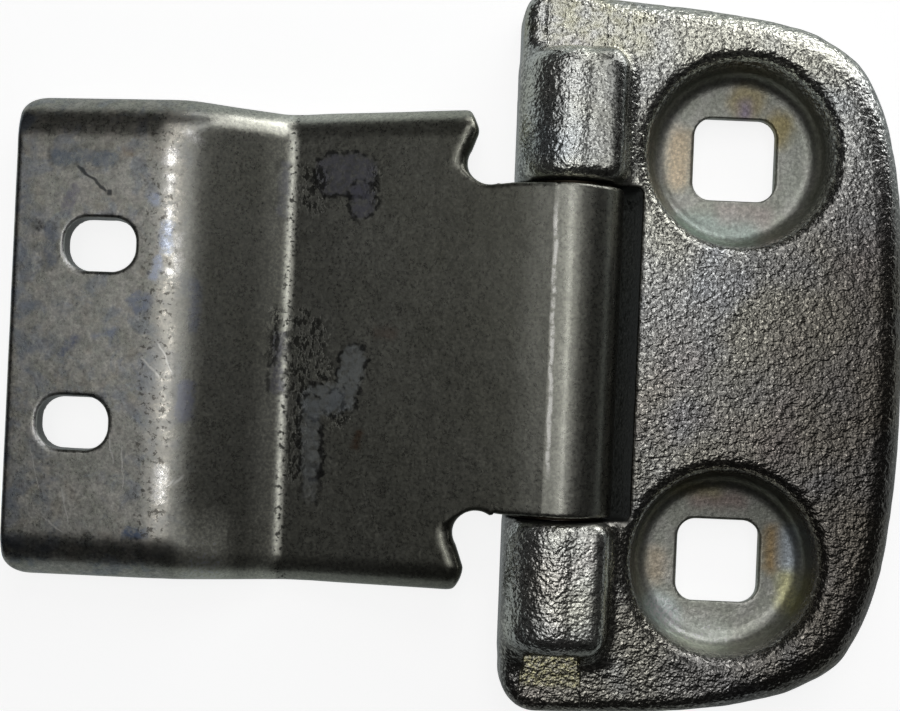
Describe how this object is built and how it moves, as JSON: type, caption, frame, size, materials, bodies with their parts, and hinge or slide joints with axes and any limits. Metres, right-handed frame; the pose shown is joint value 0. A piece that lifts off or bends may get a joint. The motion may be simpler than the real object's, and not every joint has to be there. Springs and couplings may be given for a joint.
{
  "type": "vehicle door hinge",
  "caption": "Van-type door hinge: half-moon forged leaf with dished bolt recesses, pressed strap with a rolled eye, joined by a pin.",
  "frame": {"origin": "on the leaf's mounting face, midway between its two bolt holes", "axes": "+Z out of the mounting face towards the knuckles, +Y along the pin, +X from the pin across the leaf"},
  "size_m": [0.1237, 0.1, 0.0155],
  "materials": {
    "leaf_zinc": "forged steel, shot-blasted coarse grain, bright zinc plate with faint iridescence",
    "strap_steel": "bare pressed steel, dark and fine-pitted, worn bright along the bends",
    "pin_steel": "ground steel",
    "bush_bronze": "sintered bronze, oil-filled",
    "plug_zinc": "driven steel plug, ground flush, zinc plated, slightly yellow"
  },
  "bodies": {
    "leaf": {"body_leaf": "leaf_zinc", "hinge_pin": "pin_steel", "upper_bore_plug": "plug_zinc", "lower_bore_plug": "plug_zinc"},
    "strap": {"door_strap": "strap_steel", "upper_bush": "bush_bronze", "lower_bush": "bush_bronze"}
  },
  "joints": [
    {"name": "pin_hinge", "type": "hinge", "parent": "leaf", "child": "strap", "pos_m": [-0.0235, 0, 0.008], "axis": [0, 1, 0], "range_deg": [0, 130]}
  ]
}
